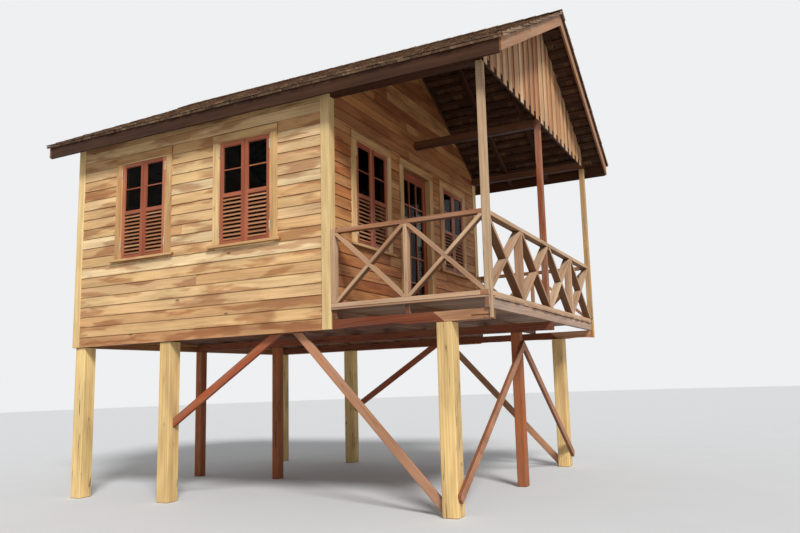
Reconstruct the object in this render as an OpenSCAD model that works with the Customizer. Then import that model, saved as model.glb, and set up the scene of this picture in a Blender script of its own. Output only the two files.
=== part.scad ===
// Timber house on stilts, with a gabled porch across one end.
// The origin is on the ground, under the middle of the plan. The porch faces -Y, the ridge runs
// along Y, and left is the -X side. Heights are built up from the ground by named values.

/* [Plan] */
// Width over the corner boards
house_w = 4200; // [3800:10:4800]
// Depth of the room over the corner boards
room_d = 3870; // [3600:10:4600]
// Depth of the porch in front of the room
porch_d = 1780; // [1500:10:2200]

/* [Under the floor] */
// Height of the stilts, from the ground to the bearers
stilt_h = 1830; // [1500:10:2600]
// Side of a square stilt under a side bearer
stilt_w = 165; // [130:5:220]
// Side of a square stilt under the middle bearer
inner_stilt_w = 115; // [90:5:125]
// Distance from the porch edge to the front stilts
stilt_setback = 430; // [250:5:600]
// Distance between the middles of the front and the middle stilts
stilt_span = 3600; // [2800:10:3800]
// Height of a bearer
bearer_h = 100; // [80:5:160]
// Width of a bearer
bearer_w = 120; // [115:5:160]
// Height of a joist
joist_h = 100; // [80:5:150]
// Thickness of a joist
joist_t = 45; // [35:5:70]
// Number of joist bays under the porch
porch_joist_bays = 2; // [1:1:5]
// Number of joist bays under the room
room_joist_bays = 8; // [5:1:11]
// Thickness of the floor boards
floor_t = 22; // [18:1:32]
// Width of a brace between the stilts
brace_w = 90; // [60:5:120]
// Thickness of a brace between the stilts
brace_t = 40; // [30:5:60]
// Height of the front side braces' feet
brace_foot_h = 70; // [70:5:300]
// Height of the rear side braces' feet
rear_foot_h = 890; // [300:10:1000]
// Distance between the tops of a pair of side braces
brace_top_gap = 280; // [200:10:400]
// Distance from the front stilts' backs to the middle of that gap
brace_top_y = 1815; // [1500:5:2100]
// Height of the cross braces' feet
cross_foot_h = 220; // [150:10:400]
// Distance from the bearers down to where the cross braces meet
cross_drop = 160; // [120:10:300]

/* [Walls] */
// Height of the walls, from the siding's bottom edge to the top plates
wall_h = 2537; // [2500:1:2800]
// Thickness of a wall without its siding
wall_t = 80; // [65:5:100]
// Height that each siding board shows
board_h = 125; // [90:1:180]
// Thickness of a siding board at its lower edge
board_t = 22; // [16:1:28]
// Thickness of a siding board at its upper edge
board_top_t = 9; // [6:1:14]
// Thickness of the corner boards and casings
trim_t = 30; // [29:1:40]

/* [Windows] */
// Width of a window opening
win_w = 745; // [600:5:850]
// Height of a window opening above its sill
win_h = 1220; // [1000:5:1250]
// Height of the side windows' heads above the siding's bottom edge
side_head_h = 2270; // [2200:5:2350]
// Distance from a wall's end to the middle of a side window
side_win_inset = 1150; // [900:5:1300]
// Distance from the door's middle to the middle of a front window
front_win_x = 1180; // [1080:5:1300]
// Width of a casing board
casing_w = 90; // [60:5:100]
// Thickness of a jamb lining
lining_t = 15; // [12:1:25]
// Thickness of a window sill
sill_t = 30; // [25:1:45]
// Length of a sill past each casing
sill_horn = 50; // [20:5:60]
// Distance that a sill stands out past the casings
sill_nose = 35; // [15:5:60]
// Width of a sash's stiles and rails
stile_w = 45; // [35:1:60]
// Thickness of a sash
sash_t = 36; // [34:1:45]
// Distance that the sashes stand back behind the casings' faces
sash_inset = 6; // [4:1:20]
// Gap between the two sashes of a window
sash_gap = 2; // [1:0.5:4]
// Height of the glazed part of a sash over its louvres
glazed_h = 560; // [400:5:600]
// Width of a glazing bar
bar_w = 20; // [14:1:30]
// Number of louvre slats in a sash
louvre_n = 11; // [6:1:12]
// Width of a louvre slat
louvre_w = 38; // [30:1:40]
// Thickness of a louvre slat
louvre_t = 7; // [5:1:9]
// Slope of the louvre slats, in degrees
louvre_angle = 40; // [35:1:50]
// Thickness of the window and door glass
glass_t = 4; // [3:0.5:6]

/* [Door] */
// Width of the door leaf
door_w = 755; // [700:5:800]
// Height of the door leaf
door_h = 1943; // [1900:1:1980]
// Thickness of the door leaf
door_t = 40; // [35:1:48]
// Clearance round the door leaf
door_gap = 7; // [6:0.5:9]
// Thickness of the threshold
threshold_t = 20; // [12:1:30]
// Width of the leaf's stiles
door_stile_w = 85; // [70:5:110]
// Height of the leaf's top rail
door_top_rail = 110; // [80:5:130]
// Height of the leaf's bottom rail
door_bottom_rail = 145; // [110:5:200]
// Number of panes across the leaf
panes_across = 3; // [2:1:4]
// Number of panes up the leaf
panes_up = 5; // [3:1:6]
// Height of a hinge
hinge_h = 90; // [70:5:110]
// Radius of a hinge barrel
hinge_r = 6; // [5:0.5:8]
// Width of a hinge plate
hinge_plate_w = 32; // [26:1:38]
// Thickness of a hinge plate
hinge_plate_t = 2.5; // [2:0.5:3]
// Play between the moving and the fixed parts of a hinge
hinge_play = 0.5; // [0.4:0.1:1]

/* [Porch] */
// Side of a porch post
post_w = 70; // [60:5:85]
// Thickness of the tongue that runs down from a corner post
tongue_t = 25; // [20:1:30]
// Width of the tongue that runs down from a corner post
tongue_w = 52; // [40:1:60]
// Height of the railing above the deck
railing_h = 830; // [750:10:1000]
// Height of a rail
rail_h = 46; // [38:1:60]
// Depth of the front rails and their studs
rail_d = 90; // [80:5:100]
// Thickness of a railing stud
stud_t = 42; // [36:1:55]
// Width of a newel against the wall
newel_w = 58; // [45:1:70]
// Width of a diagonal brace in the railing
cross_w = 38; // [28:1:50]

/* [Roof] */
// Slope of the roof, in degrees
roof_pitch = 30; // [28:0.5:32]
// Distance from the walls to the outside of the eave fascias
eave_out = 220; // [180:5:320]
// Distance from the porch edge to the outside of the barge boards
rake_out = 290; // [220:5:380]
// Depth of a rafter
rafter_h = 90; // [75:5:110]
// Thickness of a rafter
rafter_t = 50; // [38:1:60]
// Number of rafter bays over the porch
porch_rafter_bays = 3; // [2:1:4]
// Number of rafter bays over the room
room_rafter_bays = 6; // [4:1:8]
// Depth of the rafters' seats on the plates
seat_cut = 20; // [12:1:25]
// Height of the top plates
plate_h = 100; // [80:5:120]
// Thickness of the ridge board
ridge_t = 25; // [20:1:35]
// Thickness of the battens on the rafters
batten_t = 20; // [16:1:25]
// Width of a batten
batten_w = 50; // [38:1:70]
// Thickness of the shingles at the head of a course
shingle_head_t = 22; // [14:1:30]
// Thickness of the shingles at the butts of a course
shingle_butt_t = 48; // [36:1:60]
// Length of shingle that each course shows
course_w = 152; // [120:1:200]
// Distance that the shingles run past the eaves and rakes
shingle_out = 35; // [20:1:50]
// Depth of a barge board
barge_h = 120; // [100:5:150]
// Height of an eave fascia
fascia_h = 147; // [130:1:170]
// Thickness of the barge boards and fascias
fascia_t = 25; // [20:1:32]
// Width of a ridge cap board
cap_w = 140; // [110:5:180]
// Thickness of the ridge cap
cap_t = 20; // [15:1:28]
// Thickness of the gable boards
infill_t = 20; // [15:1:25]
// Width of a gable board
infill_w = 97; // [80:1:130]
// Distance that the long gable boards hang below the short ones
infill_drop = 70; // [40:5:90]
// Height of the tie beam behind the gable boards
tie_h = 80; // [60:5:110]

/* [Hidden] */

// A little more than nothing, for cuts that run past a face
over = 1;
// Clearance between sloping faces that rest on each other
rest_gap = 0.3;

// Plan lines
half_w = house_w / 2;
frame_x = half_w - trim_t;
inner_x = frame_x - wall_t;
y_front = -(porch_d + room_d) / 2;
y_back = -y_front;
y_wall = y_front + porch_d;
y_frame = y_wall + trim_t;
y_inner = y_frame + wall_t;
y_back_frame = y_back - trim_t;
y_back_inner = y_back_frame - wall_t;
corner_w = trim_t + wall_t;

// Levels
z_base = stilt_h;
z_joist = z_base + bearer_h;
z_board = z_joist + joist_h;
z_floor = z_board + floor_t;
z_plate = z_base + wall_h;
z_plate_top = z_plate + plate_h;

// Roof lines, as heights at a distance s from the middle plane
slope = tan(roof_pitch);
upright = 1 / cos(roof_pitch);
eave_x = half_w + eave_out;
y_barge = y_front - rake_out;
function rafter_z(s) = z_plate_top - seat_cut + (frame_x - s) * slope;
function batten_z(s) = rafter_z(s) + rafter_h * upright;
function cover_z(s) = batten_z(s) + batten_t * upright;

// A box given by its low and high corners
module block(low, high) {
    translate(low) cube(high - low);
}

// Repeats its children on the right side and, mirrored, on the left side
module on_both_sides() {
    children();
    mirror([1, 0, 0]) children();
}

// Extrudes an outline drawn in X and Z along Y, from y0 to y1
module along_y(y0, y1) {
    translate([0, y1, 0]) rotate([90, 0, 0]) linear_extrude(y1 - y0) children();
}

// Extrudes an outline drawn in Y and Z along X, from x0 to x1
module along_x(x0, x1) {
    translate([x0, 0, 0]) rotate([90, 0, 90]) linear_extrude(x1 - x0) children();
}

// A straight timber of width w between two points, with ends that run on for cutting
module timber(from, to, w) {
    run = to - from;
    translate(from) rotate(atan2(run.y, run.x)) translate([-w, -w / 2]) square([norm(run) + 2 * w, w]);
}

// Stilts and what they carry

row_front = y_front + stilt_setback + stilt_w / 2;
row_middle = row_front + stilt_span;
row_back = y_back_frame - stilt_w / 2;
stilt_x = frame_x - stilt_w / 2;

// A row of three stilts with their front faces in line; the middle one is thinner
module stilt_row(y) {
    front = y - stilt_w / 2;
    color("burlywood") {
        for (x = [-stilt_x, stilt_x])
            block([x - stilt_w / 2, front, 0], [x + stilt_w / 2, y + stilt_w / 2, z_base]);
        block([-inner_stilt_w / 2, front, 0], [inner_stilt_w / 2, front + inner_stilt_w, z_base]);
    }
}

module front_stilts() stilt_row(row_front);
module middle_stilts() stilt_row(row_middle);
module back_stilts() stilt_row(row_back);

// Side braces stand between the stilts; cross braces lie on the front stilts' front faces
module stilt_braces() {
    front_face = row_front + stilt_w / 2;
    rear_face = row_middle - stilt_w / 2;
    top = front_face + brace_top_y;
    cross_face = row_front - stilt_w / 2;
    color("peru")
    on_both_sides() {
        along_x(stilt_x - brace_t / 2, stilt_x + brace_t / 2) intersection() {
            union() {
                timber([front_face, brace_foot_h], [top - brace_top_gap / 2, z_base], brace_w);
                timber([rear_face, rear_foot_h], [top + brace_top_gap / 2, z_base], brace_w);
            }
            translate([front_face, 0]) square([rear_face - front_face, z_base]);
        }
        along_y(cross_face - brace_t, cross_face) intersection() {
            timber([stilt_x, cross_foot_h], [0, z_base - cross_drop], brace_w);
            square([frame_x, z_base]);
        }
    }
}

module bearers() {
    y0 = y_front + tongue_t;
    color("saddlebrown") {
        on_both_sides()
            block([frame_x - bearer_w, y0, z_base], [frame_x, y_back_frame, z_joist]);
        block([-bearer_w / 2, y0, z_base], [bearer_w / 2, y_back_inner, z_joist]);
    }
}

// The first joist is the rim that closes the porch's front edge
module floor_joists() {
    rim_y = y_front + tongue_t;
    porch_pitch = (y_wall - joist_t - rim_y) / porch_joist_bays;
    room_pitch = (y_back_inner - y_inner) / room_joist_bays;
    color("sienna") {
        block([-half_w, rim_y, z_joist], [half_w, rim_y + joist_t, z_board]);
        for (i = [1 : porch_joist_bays])
            translate([0, rim_y + i * porch_pitch, 0])
                block([-frame_x, 0, z_joist], [frame_x, joist_t, z_board]);
        for (i = [0 : room_joist_bays])
            translate([0, y_inner + i * room_pitch - joist_t, 0])
                block([-inner_x, 0, z_joist], [inner_x, joist_t, z_board]);
    }
}

module porch_deck() {
    color("tan")
    difference() {
        union() {
            block([-half_w, y_front, z_board], [half_w, y_wall, z_floor]);
            block([-frame_x, y_wall - over, z_board], [frame_x, y_frame, z_floor]);
        }
        corner_tongues();
    }
}

module room_floor() {
    color("tan")
    block([-inner_x, y_frame, z_board], [inner_x, y_back_inner, z_floor]);
}

// Walls: sill and head panels, with the piers between them as a node of their own

front_head_h = z_floor - z_base + threshold_t + 2 * door_gap + door_h + lining_t;
z_side_head = z_base + side_head_h;
z_side_sill = z_side_head - win_h;
z_front_head = z_base + front_head_h;
z_front_sill = z_front_head - win_h;
side_win_y = [y_wall + side_win_inset, y_back - side_win_inset];
door_open_w = door_w + 2 * door_gap + 2 * lining_t;

module side_wall_panels() {
    color("sienna") {
        block([inner_x, y_frame, z_joist], [frame_x, y_back_frame, z_side_sill - sill_t]);
        block([inner_x, y_frame, z_side_head], [frame_x, y_back_frame, z_plate]);
    }
}

module side_wall_piers() {
    low = z_side_sill - sill_t;
    edges = [y_frame, side_win_y[0] - win_w / 2, side_win_y[0] + win_w / 2,
        side_win_y[1] - win_w / 2, side_win_y[1] + win_w / 2, y_back_frame];
    color("sienna")
    for (i = [0 : 2 : 4])
        block([inner_x, edges[i], low], [frame_x, edges[i + 1], z_side_head]);
}

module left_wall() mirror([1, 0, 0]) side_wall_panels();
module right_wall() side_wall_panels();
module left_wall_piers() mirror([1, 0, 0]) side_wall_piers();
module right_wall_piers() side_wall_piers();

// The outline of a gable wall between the side walls, from height z0 up to the rafters
module gable_outline(z0) {
    side_z = rafter_z(inner_x) - rest_gap;
    polygon([[-inner_x, z0], [inner_x, z0], [inner_x, side_z], [0, rafter_z(0) - rest_gap],
        [-inner_x, side_z]]);
}

module front_wall() {
    color("sienna") {
        along_y(y_frame, y_inner) gable_outline(z_front_head);
        on_both_sides()
            block([door_open_w / 2, y_frame, z_floor], [inner_x, y_inner, z_front_sill - sill_t]);
    }
}

module front_wall_piers() {
    low = z_front_sill - sill_t;
    color("sienna")
    on_both_sides() {
        block([door_open_w / 2, y_frame, low], [front_win_x - win_w / 2, y_inner, z_front_head]);
        block([front_win_x + win_w / 2, y_frame, low], [inner_x, y_inner, z_front_head]);
    }
}

module back_wall() {
    foot_w = 2 * (frame_x - bearer_w);
    color("sienna")
    along_y(y_back_inner, y_back_frame) {
        gable_outline(z_joist);
        translate([-foot_w / 2, z_base]) square([foot_w, bearer_h + over]);
    }
}

// Lapped siding: each board is thicker at its lower edge and covers the head of the one below

siding_top = rafter_z(half_w) - 5;

module lap_outline(z0, z1) {
    courses = ceil((z1 - z0) / board_h);
    steps = [for (i = [0 : courses - 1]) each
        [[board_t, z0 + i * board_h], [board_top_t, z0 + (i + 1) * board_h]]];
    intersection() {
        polygon(concat([[0, z0]], steps, [[0, z0 + courses * board_h]]));
        translate([0, z0]) square([board_t, z1 - z0]);
    }
}

// What a window's casings and sill take out of the siding, with the wall's face at y 0
module casing_space(z_sill, z_head) {
    out = win_w / 2 + casing_w;
    block([-out, -2 * trim_t, z_sill - over], [out, over, z_head + casing_w]);
    block([-out - sill_horn, -2 * trim_t, z_sill - sill_t], [out + sill_horn, over, z_sill]);
}

module side_siding() {
    color("goldenrod")
    difference() {
        along_y(y_wall + corner_w, y_back - corner_w)
            translate([frame_x, 0]) lap_outline(z_base, siding_top);
        for (y = side_win_y)
            translate([frame_x, y, 0]) rotate([0, 0, 90]) casing_space(z_side_sill, z_side_head);
    }
}

module left_siding() mirror([1, 0, 0]) side_siding();
module right_siding() side_siding();

module front_siding() {
    out = door_open_w / 2 + casing_w;
    color("goldenrod")
    difference() {
        intersection() {
            along_x(-inner_x, inner_x)
                translate([y_frame, 0]) mirror([1, 0]) lap_outline(z_floor, rafter_z(0));
            along_y(y_wall, y_frame) gable_outline(z_floor);
        }
        for (x = [-front_win_x, front_win_x])
            translate([x, y_frame, 0]) casing_space(z_front_sill, z_front_head);
        block([-out, y_wall, z_floor - over], [out, y_frame + over, z_front_head + casing_w]);
    }
}

module back_siding() {
    color("goldenrod")
    intersection() {
        along_x(-inner_x, inner_x)
            translate([y_back_frame, 0]) lap_outline(z_base, rafter_z(0));
        along_y(y_back_frame, y_back) gable_outline(z_base);
    }
}

// An angle of two boards at each corner; the front ones step over the deck
module corner_boards() {
    color("khaki")
    on_both_sides() {
        block([frame_x, y_wall, z_base], [half_w, y_wall + corner_w, siding_top]);
        block([half_w - corner_w, y_wall, z_floor], [half_w, y_frame, z_plate]);
        block([frame_x, y_back - corner_w, z_base], [half_w, y_back, siding_top]);
        block([half_w - corner_w, y_back_frame, z_base], [half_w, y_back, z_plate]);
    }
}

// Windows, drawn with the wall's outer face at y 0 and the outside toward -Y

sash_w = (win_w - sash_gap) / 2 - lining_t;
sash_h = win_h - lining_t;
z_glass = sash_h - stile_w - glazed_h;

module window_casing(z_sill, z_head) {
    out = win_w / 2 + casing_w;
    clear = win_w / 2 - lining_t;
    difference() {
        union() {
            block([-out, -trim_t, z_sill], [out, 0, z_head + casing_w]);
            block([-win_w / 2, -trim_t, z_sill], [win_w / 2, wall_t, z_head]);
        }
        block([-clear, -2 * trim_t, z_sill - over], [clear, 2 * wall_t, z_head - lining_t]);
    }
    block([-out - sill_horn, -trim_t - sill_nose, z_sill - sill_t], [out + sill_horn, 0, z_sill]);
    block([-win_w / 2, -over, z_sill - sill_t], [win_w / 2, wall_t, z_sill]);
}

// One casement sash, with its lower corner at the origin: glass over a bar, and louvres below
module sash() {
    open_w = sash_w - 2 * stile_w;
    louvres_h = z_glass - 2 * stile_w;
    pitch = louvres_h / louvre_n;
    difference() {
        cube([sash_w, sash_t, sash_h]);
        translate([stile_w, -over, z_glass]) cube([open_w, sash_t + 2 * over, glazed_h]);
        translate([stile_w, -over, stile_w]) cube([open_w, sash_t + 2 * over, louvres_h]);
    }
    difference() {
        translate([stile_w - over, sash_t / 4, z_glass + (glazed_h - bar_w) / 2])
            cube([open_w + 2 * over, sash_t / 2, bar_w]);
        sash_pane();
    }
    for (i = [0 : louvre_n - 1])
        translate([stile_w - over, sash_t / 2, stile_w + (i + 0.5) * pitch])
            rotate([louvre_angle, 0, 0]) translate([0, -louvre_w / 2, -louvre_t / 2])
                cube([open_w + 2 * over, louvre_w, louvre_t]);
}

module sash_pane() {
    translate([stile_w, (sash_t - glass_t) / 2, z_glass])
        cube([sash_w - 2 * stile_w, glass_t, glazed_h]);
}

// Puts its children on the left and the right of a window whose sill is at z_sill
module sash_pair(z_sill) {
    for (x = [-sash_w - sash_gap / 2, sash_gap / 2])
        translate([x, sash_inset - trim_t, z_sill]) children();
}

module in_side_windows() {
    for (y = side_win_y) {
        translate([-frame_x, y, 0]) rotate([0, 0, -90]) children();
        translate([frame_x, y, 0]) rotate([0, 0, 90]) children();
    }
}

module in_front_windows() {
    for (x = [-front_win_x, front_win_x])
        translate([x, y_frame, 0]) children();
}

module window_casings() {
    color("khaki") {
        in_side_windows() window_casing(z_side_sill, z_side_head);
        in_front_windows() window_casing(z_front_sill, z_front_head);
    }
}

module window_sashes() {
    color("firebrick") {
        in_side_windows() sash_pair(z_side_sill) sash();
        in_front_windows() sash_pair(z_front_sill) sash();
    }
}

module window_glass() {
    color("lightblue", 0.5) {
        in_side_windows() sash_pair(z_side_sill) sash_pane();
        in_front_windows() sash_pair(z_front_sill) sash_pane();
    }
}

// Door, hinged on its left side and opening into the room

door_x = door_w / 2;
door_y = y_inner - door_t;
z_door = z_floor + threshold_t + door_gap;
z_door_top = z_door + door_h;
hinge_x = -door_x - door_gap / 2;
hinge_y = y_inner + hinge_r + hinge_play;
hinge_levels = [for (share = [0.12, 0.5, 0.88]) z_door + share * door_h];

module door_casing() {
    out = door_open_w / 2 + casing_w;
    clear = door_open_w / 2 - lining_t;
    color("khaki")
    difference() {
        union() {
            block([-out, y_wall, z_floor], [out, y_frame, z_front_head + casing_w]);
            block([-door_open_w / 2, y_wall, z_floor], [door_open_w / 2, y_inner, z_front_head]);
        }
        block([-clear, y_wall - over, z_floor + threshold_t],
            [clear, y_inner + over, z_front_head - lining_t]);
    }
}

module door_leaf() {
    glazed_w = door_w - 2 * door_stile_w;
    pane_w = (glazed_w - (panes_across - 1) * bar_w) / panes_across;
    pane_h = (door_h - door_top_rail - door_bottom_rail - (panes_up - 1) * bar_w) / panes_up;
    color("firebrick")
    difference() {
        block([-door_x, door_y, z_door], [door_x, y_inner, z_door_top]);
        for (i = [0 : panes_across - 1], j = [0 : panes_up - 1])
            translate([door_stile_w - door_x + i * (pane_w + bar_w), door_y - over,
                z_door + door_bottom_rail + j * (pane_h + bar_w)])
                cube([pane_w, door_t + 2 * over, pane_h]);
        door_pane();
    }
}

module door_pane() {
    middle = y_inner - door_t / 2;
    block([door_stile_w - door_x, middle - glass_t / 2, z_door + door_bottom_rail],
        [door_x - door_stile_w, middle + glass_t / 2, z_door_top - door_top_rail]);
}

module door_glass() {
    color("lightblue", 0.5) door_pane();
}

// Part of a hinge barrel from z0 to z1, with the plate that holds it at x0
module hinge_part(x0, z0, z1) {
    translate([hinge_x, hinge_y, z0]) cylinder(r = hinge_r, h = z1 - z0, $fn = 32);
    block([x0, y_inner, z0], [x0 + hinge_plate_w, y_inner + hinge_plate_t, z1]);
}

module door_hinge_plates() {
    x0 = hinge_x - hinge_plate_w;
    color("silver")
    for (z = hinge_levels) {
        hinge_part(x0, z - hinge_h / 2, z - hinge_h / 6);
        hinge_part(x0, z + hinge_h / 6, z + hinge_h / 2);
    }
}

module door_hinge_leaves() {
    color("silver")
    for (z = hinge_levels)
        hinge_part(hinge_x, z - hinge_h / 6 + hinge_play, z + hinge_h / 6 - hinge_play);
}

// Porch posts and railing

post_x = half_w - post_w;
rail_y = y_front + tongue_t;
middle_post_y = rail_y + tongue_t;
z_low_rail = z_floor + rail_h;
z_rail_top = z_floor + railing_h;
z_top_rail = z_rail_top - rail_h;
quarter_x = (post_x + post_w / 2) / 2;
side_mid_y = (y_front + post_w + y_wall - newel_w) / 2;

// The tongues of the two corner posts, in front of the rim joist and the bearers
module corner_tongues() {
    on_both_sides()
        block([half_w - tongue_w, y_front, z_base], [half_w, rail_y, z_low_rail + over]);
}

module middle_post() {
    block([-post_w / 2, middle_post_y, z_floor], [post_w / 2, middle_post_y + post_w, z_plate_top]);
}

module porch_posts() {
    color("tan") {
        on_both_sides()
            block([post_x, y_front, z_low_rail], [half_w, y_front + post_w, z_plate]);
        corner_tongues();
        middle_post();
    }
}

// The front rails are notched round the middle post, and the low one carries the corner posts
module front_rails() {
    color("tan")
    difference() {
        union() {
            block([-post_x, rail_y, z_top_rail], [post_x, rail_y + rail_d, z_rail_top]);
            block([-half_w, rail_y, z_floor], [half_w, rail_y + rail_d, z_low_rail]);
        }
        middle_post();
    }
}

module side_rails() {
    color("tan")
    on_both_sides() {
        block([post_x, y_front + post_w, z_top_rail], [half_w, y_wall - newel_w, z_rail_top]);
        block([post_x, rail_y + rail_d, z_floor], [half_w, y_wall, z_low_rail]);
    }
}

module railing_studs() {
    color("tan")
    on_both_sides() {
        block([quarter_x - stud_t / 2, rail_y, z_low_rail],
            [quarter_x + stud_t / 2, rail_y + rail_d, z_top_rail]);
        block([post_x, side_mid_y - stud_t / 2, z_low_rail],
            [half_w, side_mid_y + stud_t / 2, z_top_rail]);
        block([post_x, y_wall - newel_w, z_low_rail], [half_w, y_wall, z_rail_top]);
    }
}

// The bays of the front railing in X, and those of a side railing in Y
front_bays = [[-post_x, -quarter_x - stud_t / 2], [-quarter_x + stud_t / 2, -post_w / 2],
    [post_w / 2, quarter_x - stud_t / 2], [quarter_x + stud_t / 2, post_x]];
side_bays = [[y_front + post_w, side_mid_y - stud_t / 2],
    [side_mid_y + stud_t / 2, y_wall - newel_w]];

// A diagonal in a bay between the rails, running up along the bay or down
module bay_diagonal(bay, rising) {
    low = [bay[0], rising ? z_low_rail : z_top_rail];
    high = [bay[1], rising ? z_top_rail : z_low_rail];
    intersection() {
        timber(low, high, cross_w);
        translate([bay[0], z_low_rail]) square([bay[1] - bay[0], z_top_rail - z_low_rail]);
    }
}

// In each bay one diagonal is whole and the other is cut in two against it
module bay_cross(bay, rising, whole) {
    if (whole) bay_diagonal(bay, rising);
    else difference() {
        bay_diagonal(bay, !rising);
        bay_diagonal(bay, rising);
    }
}

module railing_crosses(whole) {
    for (bay = front_bays)
        along_y(rail_y, rail_y + rail_d) bay_cross(bay, false, whole);
    for (bay = side_bays) {
        along_x(-half_w, -post_x) bay_cross(bay, true, whole);
        along_x(post_x, half_w) bay_cross(bay, false, whole);
    }
}

module railing_braces() color("tan") railing_crosses(true);
module railing_half_braces() color("tan") railing_crosses(false);

// Roof frame

rafter_tail = eave_x - fascia_t;
first_rafter_y = y_front + infill_t;

module roof_plates() {
    color("saddlebrown") {
        on_both_sides()
            block([inner_x, first_rafter_y, z_plate], [frame_x, y_back_frame, z_plate_top]);
        block([-wall_t / 2, middle_post_y + post_w, z_plate],
            [wall_t / 2, y_frame - board_t, z_plate_top]);
    }
}

module tie_beam() {
    color("saddlebrown")
    along_y(first_rafter_y, first_rafter_y + wall_t) intersection() {
        gable_outline(z_plate);
        translate([-inner_x, z_plate_top]) square([2 * inner_x, tie_h]);
    }
}

// A pair of rafters, notched over the plates and cut plumb at the ridge board and the fascias
module rafter_pair() {
    on_both_sides() along_y(0, rafter_t) difference() {
        polygon([[ridge_t / 2, rafter_z(ridge_t / 2)], [rafter_tail, rafter_z(rafter_tail)],
            [rafter_tail, batten_z(rafter_tail)], [ridge_t / 2, batten_z(ridge_t / 2)]]);
        translate([inner_x, z_plate]) square([wall_t, plate_h]);
    }
}

module rafters() {
    porch_pitch = (y_frame - first_rafter_y) / porch_rafter_bays;
    room_pitch = (y_back_frame - rafter_t - y_frame) / room_rafter_bays;
    color("saddlebrown") {
        for (i = [0 : porch_rafter_bays - 1])
            translate([0, first_rafter_y + i * porch_pitch, 0]) rafter_pair();
        for (i = [0 : room_rafter_bays])
            translate([0, y_frame + i * room_pitch, 0]) rafter_pair();
    }
}

module ridge_board() {
    color("saddlebrown")
    block([-ridge_t / 2, y_barge + fascia_t, rafter_z(0)],
        [ridge_t / 2, -y_barge - fascia_t, batten_z(ridge_t / 2)]);
}

// Roof covering

// A point u up the slope from the shingles' lower edge and n out from the battens
function cover_point(u, n) = [eave_x + shingle_out - u * cos(roof_pitch) + n * sin(roof_pitch),
    cover_z(eave_x + shingle_out) + u * sin(roof_pitch) + n * cos(roof_pitch)];

module shingle_outline() {
    courses = ceil((eave_x + shingle_out) * upright / course_w) + 1;
    steps = [for (i = [0 : courses - 1]) each
        [cover_point(i * course_w, shingle_butt_t), cover_point((i + 1) * course_w, shingle_head_t)]];
    cap_run = cap_w * cos(roof_pitch);
    top_t = shingle_butt_t * upright;
    intersection() {
        union() {
            polygon(concat([cover_point(0, 0)], steps, [cover_point(courses * course_w, 0)]));
            polygon([[0, cover_z(0)], [cap_run, cover_z(cap_run)],
                [cap_run, cover_z(cap_run) + top_t], [0, cover_z(0) + top_t]]);
        }
        square([2 * eave_x, 2 * cover_z(0)]);
    }
}

// Rows of battens on the rafters from barge board to barge board, one for each course of shingles
module roof_battens() {
    height = batten_t - 2 * rest_gap;
    last = rafter_tail * upright - ridge_t - batten_w;
    bays = round((last - batten_t) / course_w);
    low = batten_z(rafter_tail) + rest_gap * upright;
    color("saddlebrown")
    on_both_sides() along_y(y_barge + fascia_t, -y_barge - fascia_t)
        translate([rafter_tail, low]) rotate(180 - roof_pitch)
            for (i = [0 : bays])
                translate([batten_t + i * (last - batten_t) / bays, -height])
                    square([batten_w, height]);
}

// Courses of shingles that run past the barge boards and fascias all round
module roof_side() {
    color("dimgray")
    along_y(y_barge - shingle_out, shingle_out - y_barge) shingle_outline();
}

module left_roof() mirror([1, 0, 0]) roof_side();
module right_roof() roof_side();

module ridge_cap() {
    low = shingle_butt_t * upright;
    high = low + cap_t * upright;
    edge = cap_w * cos(roof_pitch);
    color("gray")
    along_y(y_barge - shingle_out, shingle_out - y_barge)
        polygon([[-edge, cover_z(edge) + low], [0, cover_z(0) + low], [edge, cover_z(edge) + low],
            [edge, cover_z(edge) + high], [0, cover_z(0) + high], [-edge, cover_z(edge) + high]]);
}

module barge_boards() {
    low = barge_h * upright;
    eave_z = cover_z(eave_x) - rest_gap;
    top_z = cover_z(0) - rest_gap;
    color("peru")
    for (y = [y_barge, -y_barge - fascia_t])
        along_y(y, y + fascia_t)
            polygon([[-eave_x, eave_z], [0, top_z], [eave_x, eave_z], [eave_x, eave_z - low],
                [0, top_z - low], [-eave_x, eave_z - low]]);
}

module eave_fascias() {
    z_low = cover_z(eave_x) - fascia_h;
    color("saddlebrown")
    on_both_sides() along_y(y_barge + fascia_t, -y_barge - fascia_t)
        polygon([[rafter_tail, z_low], [eave_x, z_low], [eave_x, cover_z(eave_x) - rest_gap],
            [rafter_tail, cover_z(rafter_tail) - rest_gap]]);
}

// Upright boards across the porch gable, long and short ones by turns
module gable_infill() {
    count = 2 * round(post_x / infill_w);
    step = 2 * post_x / count;
    tips = [for (i = [0 : count - 1], k = [0, 1])
        [(i + k) * step - post_x, z_plate + (i % 2) * infill_drop]];
    color("peru")
    difference() {
        along_y(y_front, first_rafter_y)
            polygon(concat(tips, [[post_x, batten_z(post_x)], [ridge_t / 2, batten_z(ridge_t / 2)],
                [-ridge_t / 2, batten_z(ridge_t / 2)], [-post_x, batten_z(post_x)]]));
        ridge_board();
    }
}

front_stilts();
middle_stilts();
back_stilts();
stilt_braces();
bearers();
floor_joists();
porch_deck();
room_floor();
left_wall();
left_wall_piers();
right_wall();
right_wall_piers();
front_wall();
front_wall_piers();
back_wall();
left_siding();
right_siding();
front_siding();
back_siding();
corner_boards();
window_casings();
window_sashes();
window_glass();
door_casing();
door_leaf();
door_glass();
door_hinge_plates();
door_hinge_leaves();
porch_posts();
front_rails();
side_rails();
railing_studs();
railing_braces();
railing_half_braces();
roof_plates();
tie_beam();
rafters();
ridge_board();
roof_battens();
left_roof();
right_roof();
barge_boards();
eave_fascias();
gable_infill();
ridge_cap();
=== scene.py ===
"""Looks of a one-room timber house on stilts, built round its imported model, in metres."""

import math
import random

import bmesh
import bpy
from mathutils import Matrix, Vector


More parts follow.
